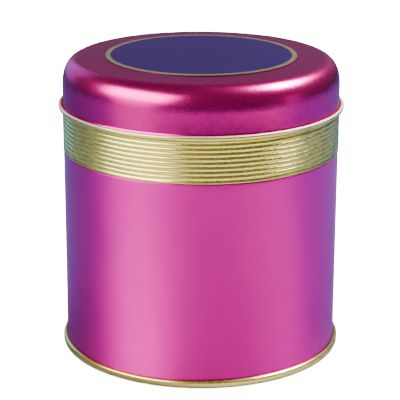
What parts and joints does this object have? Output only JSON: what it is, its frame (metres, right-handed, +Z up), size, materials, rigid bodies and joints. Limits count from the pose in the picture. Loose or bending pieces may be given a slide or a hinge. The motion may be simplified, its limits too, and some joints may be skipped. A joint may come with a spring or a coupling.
{
  "type": "talcum powder tin",
  "caption": "Round tinplate powder tin with a domed slip-on lid, gold ribbed collar, sifter tray with a turning dial, and a velour puff.",
  "frame": {"origin": "centre of the foot, on the surface that the tin stands on", "axes": "+Z up along the tin's axis; the body's side seam is at the back, on +Y"},
  "size_m": [0.0888, 0.0888, 0.0932],
  "materials": {
    "magenta_lacquer": "translucent magenta lacquer over bright tinplate, satin gloss",
    "gold_lacquer": "gold lacquer over bright tinplate, gloss",
    "ivory_plastic": "moulded, soft gloss",
    "brass": "bright",
    "velour": "brushed cotton velour",
    "satin": "woven satin",
    "navy_print": "printed navy with a plain gold border, matt varnish"
  },
  "bodies": {
    "tin_body": {"base_end": "gold_lacquer", "body_shell": "magenta_lacquer", "ribbed_band": "gold_lacquer", "neck_ring": "gold_lacquer"},
    "sifter": {"sifter_tray": "ivory_plastic", "dial_rivet": "brass"},
    "dial": {"sifter_dial": "ivory_plastic"},
    "puff": {"puff_pad": "velour", "puff_backing": "satin", "puff_ribbon": "satin"},
    "lid": {"lid_shell": "magenta_lacquer", "lid_label": "navy_print"}
  },
  "joints": [
    {"name": "sifter_lift", "type": "slide", "parent": "tin_body", "child": "sifter", "axis": [0, 0, 1], "range_m": [0, 0.025]},
    {"name": "dial_turn", "type": "hinge", "parent": "sifter", "child": "dial", "pos_m": [0, 0, 0.0718], "axis": [0, 0, 1], "range_deg": [0, 30]},
    {"name": "puff_lift", "type": "slide", "parent": "sifter", "child": "puff", "axis": [0, 0, 1], "range_m": [0, 0.03]},
    {"name": "lid_lift", "type": "slide", "parent": "puff", "child": "lid", "axis": [0, 0, 1], "range_m": [0, 0.035]}
  ]
}
